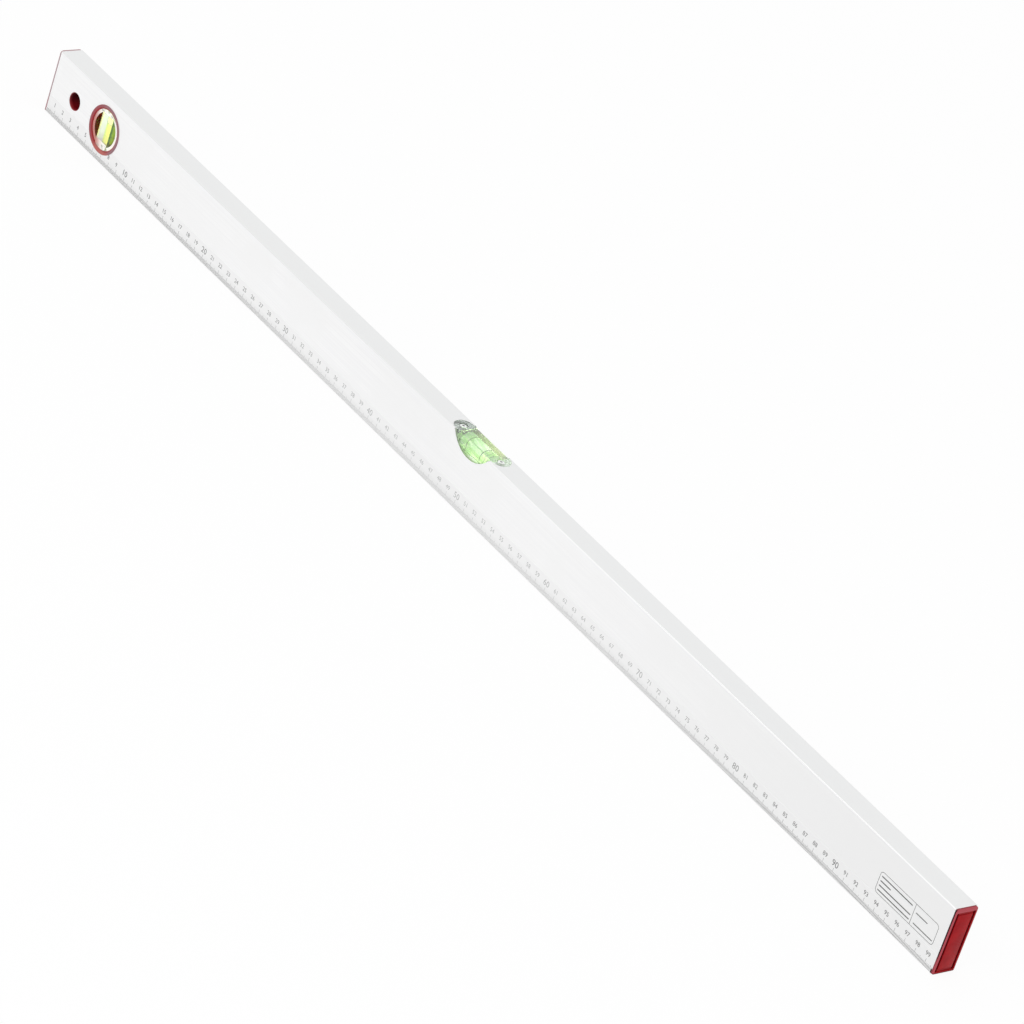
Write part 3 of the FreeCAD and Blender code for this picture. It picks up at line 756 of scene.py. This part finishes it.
# Painted reflections: pale streaks along the middle of the moulding.
reflection_streaks = noise_of(tree, stretched(tree, spot, (90.0, 420.0, 420.0)), 1.0, 1.0)
streaked_reflections = blend_of(tree, rising(tree, reflection_streaks, 0.48, 0.6), (0.74, 0.97, 0.64), (0.98, 1.0, 0.95))
tone = layered(
    tree, (0.9, 0.97, 0.93), (middle, streaked_reflections), (both(tree, flow["Swirl"], 0.2), (1.0, 1.0, 0.95))
)
feed(shader, Base_Color=tone, Emission_Color=lit, Roughness=flow["Haze"])
bumped(tree, shader, flow["Swirl"], 0.02, 0.00002)
# The liquid wets the bore, so light bends there far less than at an outer face.
wetted = clear_finish("wetted_acrylic", (0.97, 1.0, 0.97), Transmission_Weight=0.97, IOR=1.05)


def dye(name, taken, depth, glow, strength):
    """Fluorescent liquid. taken is the colour left of light that crosses it, glow a painted light that it sends
    out of itself.
    """
    sent = {"Emission_Color": glow, "Emission_Strength": strength}
    material = clear_finish(name, (0.95, 1.0, 0.75), Transmission_Weight=0.93, IOR=1.0, **sent)
    tree = material.node_tree
    swallow = add(tree, "VolumeAbsorption", Color=taken, Density=depth)
    feed(tree.nodes["Material Output"], Volume=swallow.outputs[0])
    return material


liquid = dye("green_liquid", (0.88, 0.99, 0.5), 70.0, (0.62, 1.0, 0.6), 0.22)
# The bubble glows with painted light, pale blue at its right end and dim at its left.
air = clear_finish(
    "bubble_air", (0.98, 1.0, 0.97), Transmission_Weight=0.4, IOR=AIR_IOR, Emission_Strength=0.2
)
tree = air.node_tree
painted_bright_end = rising(tree, axes_of(tree, add(tree, "TexCoord").outputs["Object"])["X"], -0.006, 0.005)
glow = blend_of(tree, painted_bright_end, (0.1, 0.15, 0.2), (0.8, 0.8, 1.0))
feed(tree.nodes["Principled BSDF"], Emission_Color=glow)
dark, tree, shader, spot = finish_of("black_ring_plastic", Specular_IOR_Level=0.4)
skin = place(tree, moulded_skin, Vector=spot, Grain=6000.0, Cloud=600.0)
tone = blend_of(tree, skin["Cloud"], (0.012, 0.025, 0.012), (0.03, 0.045, 0.03))
feed(shader, Base_Color=tone, Roughness=scaled(tree, skin["Grain"], 0.45, 0.6))


def crosses(axis):
    """A test for edges square to an axis."""
    return lambda at, along: abs(getattr(along, axis)) < 0.1


def level_rod(radius, left, right, sides=128):
    """A cylinder on the axis of the level vial's bore."""
    return rod(radius, (left, 0, VIAL_Z), (right, 0, VIAL_Z), sides)


def ring_groove(rod_of, bore, at):
    """The cutter for a reading ring's groove in a bore."""
    half = RING_HALF + PLAY
    return rod_of(bore + RING_DEPTH + PLAY, at - half, at + half)


def reading_ring(rod_of, bore, at):
    """A ring that sits in its groove, flush with the bore."""
    ring = rod_of(bore + RING_DEPTH, at - RING_HALF, at + RING_HALF)
    return cut(ring, rod_of(bore, at - 0.001, at + 0.001))


def wet_faces(piece, test):
    """Gives a piece's second finish, the wetted one, to the faces of a bore."""
    for face in piece.data.polygons:
        if test(face.center):
            face.material_index = 1


def in_level_bore(at):
    return math.hypot(at.y, at.z - VIAL_Z) < VIAL_BORE + 0.00025 and abs(at.x) < VIAL_END - 0.0001


flange = block((-FLANGE_X, -FLANGE_Y, FLANGE_LOW), (FLANGE_X, FLANGE_Y, HEIGHT))
welded(rounded(flange, runs("z"), FLANGE_Y - 0.00001, 32))
rounded(flange, lambda at, along: at.z > HEIGHT - 0.00001, 0.0002, 3)
body = block((-VIAL_END, -BODY_Y, BODY_LOW), (VIAL_END, BODY_Y, BODY_TOP))
rounded(body, lambda at, along: abs(along.y) > 0.9 and at.z < 0.04, 0.005, 16)
vial = cut(flange, body, "UNION")
cut(vial, level_rod(VIAL_BORE, -CHAMBER_X, VIAL_END + 0.00001))
for side in (-1, 1):
    screw_x = side * SCREW_X
    cut(vial, ring_groove(level_rod, VIAL_BORE, side * RING_X))
    cut(vial, rod(SHANK_HOLE, (screw_x, 0, 0.04), (screw_x, 0, 0.05), 48))
    cut(vial, rod(HEAD_SINK, (screw_x, 0, HEAD_SEAT), (screw_x, 0, 0.05), 64))
cleaned(vial)
settle(vial, "level_vial", "level", [glowing_acrylic, wetted], ["top_vial_block"])
wet_faces(vial, in_level_bore)
apply_modifier(vial, "WEIGHTED_NORMAL", keep_sharp=True)

plug = rounded(level_rod(VIAL_BORE - 0.00003, CHAMBER_X, VIAL_END, 96), crosses("x"), 0.00015, 3)
settle(plug, "level_vial_stopper", "level", [acrylic, wetted], ["top_vial_plug"])
wet_faces(plug, in_level_bore)

fill = level_rod(VIAL_BORE - 0.00005, -CHAMBER_X + 0.00005, CHAMBER_X - 0.00005)
rounded(fill, crosses("x"), 0.0003, 3)
settle(fill, "level_vial_liquid", "level", [liquid], ["top_vial_liquid"])

for side, name in ((-1, "left"), (1, "right")):
    ring = reading_ring(level_rod, VIAL_BORE, side * RING_X)
    settle(ring, "level_ring_" + name, "level", [dark], ["top_mark_ring_" + name])

bubble = block((-BUBBLE_X, -BUBBLE_Y, BUBBLE_LOW), (BUBBLE_X, BUBBLE_Y, 0.047))
welded(rounded(bubble, runs("z"), BUBBLE_Y - 0.00001, 20))
cut(bubble, level_rod(BUBBLE_TOP_RADIUS, -0.01, 0.01), "INTERSECT")
sharp = math.radians(40)
apply_modifier(bubble, "BEVEL", width=0.0007, segments=5, limit_method="ANGLE", angle_limit=sharp)
cleaned(bubble)
settle(bubble, "level_vial_bubble", "level_bubble", [air], ["top_vial_bubble"], angle=60)


# ---------------------------------------------------------------------------
# The screws that hold the level vial: bright zinc-plated pan heads with a
# cross recess, sunk in the flange, each pulling a threaded plate up under
# the profile's ledges.
# Radius and height of the head's outline, and the sizes of the thread, in millimetres.
HEAD = [(0, 47.15), (1.5, 47.15), (2.3, 47.02), (2.7, 46.7), (2.7, 45.95), (2.5, 45.75)]
SHANK, ROOT, PITCH, THREAD_TOP, THREAD_LOW = 1.2, 0.95, 0.5, 45.3, 40.2
RECESS_ARM, RECESS_HALF, RECESS_FLOOR = 0.0013, 0.0003, 0.04635

steel, tree, shader, spot = finish_of("bright_zinc_steel", Metallic=0.6)
metal = place(tree, drawn_metal, Vector=spot, Stretch=(900, 900, 200), Patch=900.0)
axes = axes_of(tree, spot)
beside = math_of(tree, "SUBTRACT", distance(tree, axes["X"]), SCREW_X)
squares = math_of(tree, "ADD", both(tree, beside, beside), both(tree, axes["Y"], axes["Y"]))
from_axis = math_of(tree, "SQRT", squares)
# Darker in the cross recess and down the shank.
dark_recess = both(tree, falling(tree, from_axis, 0.00135, 0.00145), falling(tree, axes["Z"], 0.04695, 0.0471))
plated = blend_of(tree, metal["Patches"], (0.86, 0.88, 0.86), (0.95, 0.96, 0.95))
tone = blend_of(tree, dark_recess, plated, (0.03, 0.03, 0.025))
feed(shader, Base_Color=tone, Roughness=scaled(tree, metal["Lines"], 0.25, 0.4))
bumped(tree, shader, metal["Lines"], 0.2, 0.00001)


def screw_at(x):
    """A pan-head screw with rolled thread rings and a cross recess."""
    section = HEAD + [(SHANK, 45.75)]
    z = THREAD_TOP
    while z > THREAD_LOW:
        section += [(SHANK, z), (ROOT, z - 0.15), (ROOT, z - 0.2), (SHANK, z - 0.35)]
        z -= PITCH
    section += [(SHANK, 39.75), (0.7, 39.25), (0, 39.25)]
    screw = spun(outline(section, (2, 3, 4), 0.00012), 64)
    screw.data.transform(Matrix.Rotation(math.pi / 2, 4, "X"))
    arms = []
    for reach_x, reach_y, top in ((RECESS_ARM, RECESS_HALF, 0.048), (RECESS_HALF, RECESS_ARM, 0.0481)):
        arm = block((-reach_x, -reach_y, RECESS_FLOOR), (reach_x, reach_y, top))
        edit(arm)
        choose_faces(arm, lambda at, normal: normal.z < -0.9)
        bpy.ops.transform.resize(value=(0.7, 0.7, 1), center_override=(0, 0, RECESS_FLOOR))
        arms.append(leave(arm))
    cut(screw, cut(arms[0], arms[1], "UNION"))
    screw.data.transform(Matrix.Translation((x, 0, 0)))
    return screw


screws = joined([screw_at(-SCREW_X), screw_at(SCREW_X)])
settle(screws, "vial_screw_pair", "level", [steel], ["vial_screws"])
for side in ("left", "right"):
    for slot in nodes["clamp_plate_" + side].material_slots:
        slot.material = steel


# ---------------------------------------------------------------------------
# The plumb vial: two red bezels snapped together through the profile hold a
# clear disc whose upright web carries the second tube, with its own liquid,
# bubble, reading rings and stopper. The disc is open left and right of it.
PLUMB_X, PLUMB_BORE, PLUMB_TOP = -0.4325, 0.0035, 0.03375
MARK_Z = 0.0045
WEB_X, WEB_Y, WEB_Z = 0.0064, 0.00845, 0.02
# The part of the web that stands proud of the disc's rim, from the middle.
WEB_LOW, WEB_HIGH = -0.009, 0.0112
WEB_REACH, STOPPER_REACH = 0.01445, 0.01495
AIR_RADIUS, AIR_LOW, AIR_HIGH = 0.0032, 0.02745, 0.03345
# Inner and outer end from the middle, front, back and half the height.
KEY, KEYWAY = (0.01445, 0.01575, -0.00805, -0.00305, 0.0008), (0.0143, 0.0163, -0.009, -0.0029, 0.00095)
# Radius and distance from the middle, in millimetres.
BEZEL_SECTION = [
    (16.35, 0), (16.35, 8.75), (17.5, 8.75), (17.5, 9.0), (17.25, 9.25),
    (16.7, 9.25), (14.6, 8.45), (14.6, 8.05), (15.15, 8.05),
]
SPIGOT, SOCKET = [(15.15, -2.0), (15.65, -2.0), (15.65, 0)], [(15.15, 2.05), (15.7, 2.05), (15.7, 0)]
RIM_SECTION = [(12.2, -8.05), (15.0, -8.05), (15.0, 8.05), (12.2, 8.05)]


def slant_of(tree, axes):
    """A height that also climbs to the right."""
    return math_of(tree, "ADD", axes["X"], both(tree, axes["Z"], 0.5))


def ring_foot(tree, axes):
    """The lowest part of the ring, painted paler for the light that falls on it."""
    return falling(tree, axes["Z"], MID_Z - 0.0155, MID_Z - 0.0115)


def bezel_worn(tree, axes):
    """Painted light and shade: the crest a dull mauve as shade, most to the right and above, and the foot of
    the ring pale as lit.
    """
    crest = rising(tree, distance(tree, axes["Y"]), 0.0084, 0.0091)
    right = rising(tree, slant_of(tree, axes), PLUMB_X + 0.008, PLUMB_X + 0.022)
    crest = both(tree, crest, scaled(tree, right, 0.45, 0.9))
    return either(tree, math_of(tree, "ADD", crest, 0.1), both(tree, ring_foot(tree, axes), 0.7))


# The colours of the bezel's painted light and shade: dull mauve on the crest, salmon at the foot.
def bezel_rubbed(tree, axes):
    return blend_of(tree, ring_foot(tree, axes), (0.31, 0.165, 0.185), (0.52, 0.2, 0.17))


def bezel_dirty(tree, axes):
    """Painted shade on the inner face, but for its lowest part."""
    inner = falling(tree, distance(tree, axes["Y"]), 0.0075, 0.0087)
    return both(tree, inner, rising(tree, axes["Z"], MID_Z - 0.0145, MID_Z - 0.009), 0.55)


bezel_red = red_plastic("red_bezel_plastic", bezel_worn, bezel_dirty, rubbed_and_highlight=bezel_rubbed)


def bezel(side, meeting):
    """A bezel half, from its face inwards; meeting is the shape of its joint with the other."""
    return turned([(r, side * y) for r, y in BEZEL_SECTION + meeting], PLUMB_X, (3, 4, 5, 6), 0.00012)


def key_block(side, inner, outer, front, back, half):
    """A block left or right of the disc's middle, for a key or for its keyway."""
    left, right = sorted((PLUMB_X + side * inner, PLUMB_X + side * outer))
    return block((left, front, MID_Z - half), (right, back, MID_Z + half))


front_bezel = bezel(-1, SPIGOT)
for side in (-1, 1):
    cut(front_bezel, key_block(side, *KEY), "UNION")
settle(front_bezel, "bezel_front", "level", [bezel_red], ["plumb_bezel_front"])
settle(bezel(1, SOCKET), "bezel_rear", "level", [bezel_red], ["plumb_bezel_rear"])


def disc(radius, half_thickness, sides=160):
    return rod(radius, (PLUMB_X, -half_thickness, MID_Z), (PLUMB_X, half_thickness, MID_Z), sides)


def plumb_rod(radius, low, high, sides=128):
    """A cylinder on the axis of the plumb vial's bore."""
    return rod(radius, (PLUMB_X, 0, low), (PLUMB_X, 0, high), sides)


clear_disc = turned(RIM_SECTION, PLUMB_X, (0, 1, 2, 3), 0.0002, 160)
web = block((PLUMB_X - WEB_X, -WEB_Y, MID_Z - WEB_Z), (PLUMB_X + WEB_X, WEB_Y, MID_Z + WEB_Z))
rounded(web, runs("z"), 0.0002, 3)
# An odd number of sides, so that they don't lie in the ring's own facets.
cut(web, disc(WEB_REACH, 0.01, 149), "INTERSECT")
cut(clear_disc, web, "UNION")
for side in (-1, 1):
    cut(clear_disc, key_block(side, *KEYWAY))
    cut(clear_disc, ring_groove(plumb_rod, PLUMB_BORE, MID_Z + side * MARK_Z))
cut(clear_disc, plumb_rod(PLUMB_BORE, 0.0, PLUMB_TOP))
cleaned(clear_disc)
for face_y in (-1, 1):
    edit(clear_disc)
    for web_end in (WEB_LOW, WEB_HIGH):
        choose_faces(clear_disc, lambda at, normal: at.y * face_y > WEB_Y - 0.00005 and normal.y * face_y > 0.9)
        bpy.ops.mesh.bisect(plane_co=(PLUMB_X, 0, MID_Z + web_end), plane_no=(0, 0, 1))
    leave(clear_disc)

clear_wall = clear_finish("polished_acrylic", (0.98, 0.78, 0.55), Transmission_Weight=0.98, IOR=ACRYLIC_IOR)
web_side = clear_finish("acrylic_web_side", (0.42, 0.78, 0.36), Transmission_Weight=0.48, IOR=ACRYLIC_IOR)
# The web's front face is painted yellow where the liquid shows through it and cream at its left edge as the
# tube's reflection, and glows with painted light.
web_face, tree, shader, spot = finish_of(
    "satin_acrylic_web", Transmission_Weight=0.6, IOR=ACRYLIC_IOR, Emission_Strength=0.15
)
flow = place(tree, clear_flow, Vector=spot)
across = axes_of(tree, spot)["X"]
painted_yellow = rising(tree, across, PLUMB_X + 0.0002, PLUMB_X + 0.0014)
deeper = rising(tree, across, PLUMB_X + 0.0018, PLUMB_X + 0.0034)
painted_cream = falling(tree, across, PLUMB_X - 0.0058, PLUMB_X - 0.0044)
tone = layered(
    tree,
    (0.98, 1.0, 0.96),
    (painted_yellow, blend_of(tree, deeper, (0.8, 0.93, 0.5), (0.98, 1.0, 0.5))),
    (painted_cream, (1.0, 0.93, 0.6)),
    (both(tree, flow["Swirl"], 0.3), (0.98, 1.0, 0.9)),
)
lit = layered(
    tree,
    (0.9, 1.0, 0.85),
    (painted_yellow, blend_of(tree, deeper, (0.2, 0.4, 0.05), (0.5, 0.55, 0.05))),
    (painted_cream, (1.0, 0.8, 0.3)),
)
feed(shader, Base_Color=tone, Emission_Color=lit, Roughness=flow["Haze"])

# The rim's face glows cream with painted light, and is painted red to the lower left as the bezel's reflection,
# where it doesn't glow; dull spots near its top and bottom don't glow either.
rim_face, tree, shader, spot = finish_of(
    "satin_acrylic_rim", Transmission_Weight=0.18, IOR=ACRYLIC_IOR, Emission_Strength=0.14
)
flow = place(tree, clear_flow, Vector=spot, Clearest=0.1, Cloudiest=0.25)
axes = axes_of(tree, spot)
painted_red_reflection = falling(tree, slant_of(tree, axes), PLUMB_X - 0.001, PLUMB_X + 0.009)
spots = rising(tree, noise_of(tree, spot, 420.0, 1.0), 0.46, 0.7)
smudge = both(tree, spots, rising(tree, distance(tree, axes["Z"], MID_Z), 0.009, 0.0115))
tone = layered(
    tree,
    (1.0, 0.98, 0.93),
    (painted_red_reflection, (0.64, 0.19, 0.15)),
    (both(tree, flow["Swirl"], 0.2), (1.0, 0.95, 0.9)),
    (both(tree, smudge, 0.7), (0.36, 0.4, 0.35)),
)
lit = blend_of(tree, either(tree, painted_red_reflection, smudge), (1.0, 0.97, 0.86), BLACK)
feed(shader, Base_Color=tone, Emission_Color=lit, Roughness=flow["Haze"])
# The disc's outer wall is painted the red of the sleeve behind it, as that shows through the clear wall, with
# the bush's lining masks for its tones.
backed = red_plastic("acrylic_wall_on_red", bush_dirty, bush_dirty, (0.4, 0.02, 0.015))


def in_plumb_bore(at):
    return math.hypot(at.x - PLUMB_X, at.y) < PLUMB_BORE + 0.00025 and at.z < PLUMB_TOP + 0.00005


def disc_finish(at, normal):
    """The finish of one of the disc's faces, by its place."""
    across, up = abs(at.x - PLUMB_X), abs(at.z - MID_Z)
    inside_rim = math.hypot(across, up) < 0.0147
    if in_plumb_bore(at):
        return wetted
    if across < WEB_X + 0.0001:
        if abs(at.y) > 0.0081 and WEB_LOW < at.z - MID_Z < WEB_HIGH:
            return web_face
        if up < 0.0122:
            return web_side
    if abs(normal.y) > 0.3:
        return rim_face
    if inside_rim:
        return clear_wall
    return backed if across > 0.0075 else rim_face


disc_finishes = [web_side, wetted, clear_wall, rim_face, backed, web_face]
settle(clear_disc, "plumb_disc", "level", disc_finishes, ["plumb_vial_block"])
for face in clear_disc.data.polygons:
    face.material_index = disc_finishes.index(disc_finish(face.center, face.normal))
apply_modifier(clear_disc, "WEIGHTED_NORMAL", keep_sharp=True)

stopper = plumb_rod(PLUMB_BORE - 0.00003, 0.0, 0.01375, 96)
cut(stopper, disc(STOPPER_REACH, 0.02), "INTERSECT")
settle(stopper, "plumb_vial_stopper", "level", [acrylic, wetted], ["plumb_vial_plug"])
wet_faces(stopper, in_plumb_bore)

fill = rounded(plumb_rod(PLUMB_BORE - 0.00005, 0.0138, PLUMB_TOP - 0.00005), crosses("z"), 0.0003, 3)
yellow_liquid = dye("yellow_liquid", (0.95, 0.985, 0.1), 260.0, (1.0, 0.95, 0.05), 0.3)
settle(fill, "plumb_liquid", "level", [yellow_liquid], ["plumb_vial_liquid"])

for side, name in ((-1, "lower"), (1, "upper")):
    ring = reading_ring(plumb_rod, PLUMB_BORE, MID_Z + side * MARK_Z)
    settle(ring, "plumb_ring_" + name, "level", [dark], ["plumb_mark_ring_" + name])

bubble = rounded(plumb_rod(AIR_RADIUS, AIR_LOW, AIR_HIGH, 96), crosses("z"), 0.0014, 10)
# Painted light and shade: its rounded ends are painted dark, as they turn the light away, and its middle glows,
# as it passes the light on.
rimmed_air, tree, shader, spot = finish_of(
    "rimmed_bubble_air", Transmission_Weight=0.25, IOR=AIR_IOR, Emission_Strength=0.8
)
flow = place(tree, clear_flow, Vector=spot, Scale=500.0)
ends = rising(tree, distance(tree, axes_of(tree, spot)["Z"], (AIR_LOW + AIR_HIGH) / 2), 0.0018, 0.0024)
tone = blend_of(tree, ends, (0.9, 0.95, 0.9), (0.08, 0.14, 0.03))
glow = layered(tree, (0.55, 0.62, 0.8), (flow["Swirl"], (0.7, 0.75, 0.9)), (ends, BLACK))
feed(shader, Base_Color=tone, Emission_Color=glow, Roughness=flow["Haze"])
settle(bubble, "plumb_bubble_air", "plumb_bubble", [rimmed_air], ["plumb_vial_bubble"], angle=60)
